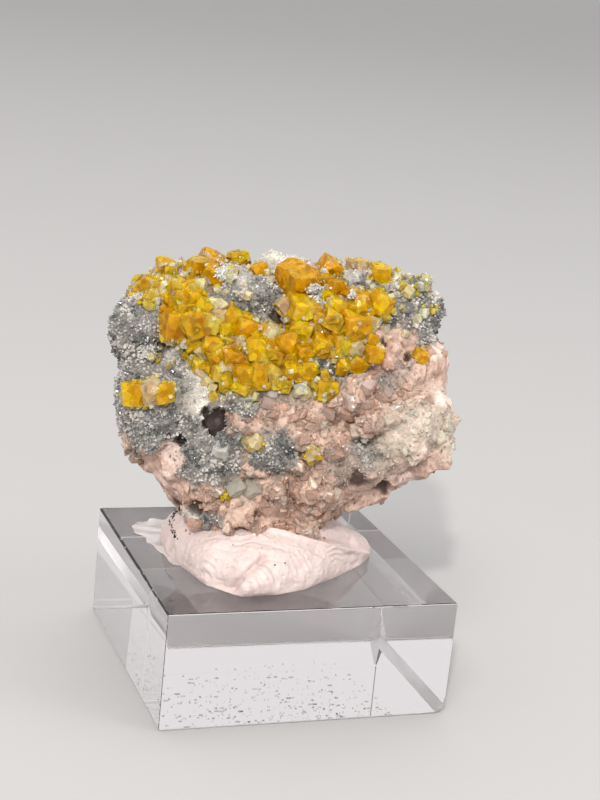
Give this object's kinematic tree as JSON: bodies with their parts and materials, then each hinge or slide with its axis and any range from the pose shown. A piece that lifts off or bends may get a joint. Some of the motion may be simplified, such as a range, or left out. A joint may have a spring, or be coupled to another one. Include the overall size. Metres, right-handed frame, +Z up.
{
  "type": "mounted mineral specimen",
  "caption": "Golden chabazite crystals on a grey and pink quartz-lined rock, set in white putty on a small square clear acrylic display block.",
  "frame": {"origin": "centre of the clear block's underside", "axes": "+Z up out of the block's top, -Y the block's front, which the crystals face, +X to the right seen from the front"},
  "size_m": [0.0374, 0.0318, 0.0471],
  "materials": {
    "clear_acrylic": "clear, polished, with fine saw marks on its underside",
    "white_putty": "soft matt, pressed by hand",
    "grey_pink_rock": "grey quartz druse that sparkles, pink and brown translucent stone",
    "golden_chabazite": "glassy, translucent, golden yellow with paler small crystals"
  },
  "bodies": {
    "root": {"display_block": "clear_acrylic", "mounting_putty": "white_putty", "matrix_rock": "grey_pink_rock", "chabazite_crust_corner": "golden_chabazite", "chabazite_crust": "golden_chabazite", "chabazite_peak": "golden_chabazite", "chabazite_top_left": "golden_chabazite", "chabazite_top_cube": "golden_chabazite", "chabazite_top_dark": "golden_chabazite", "chabazite_top_roof": "golden_chabazite", "chabazite_top_cream": "golden_chabazite", "chabazite_top_right": "golden_chabazite", "chabazite_left_pair": "golden_chabazite", "chabazite_lower_square": "golden_chabazite", "chabazite_far_right": "golden_chabazite", "chabazite_pale_lower": "golden_chabazite", "chabazite_pale_right": "golden_chabazite"}
  },
  "joints": []
}
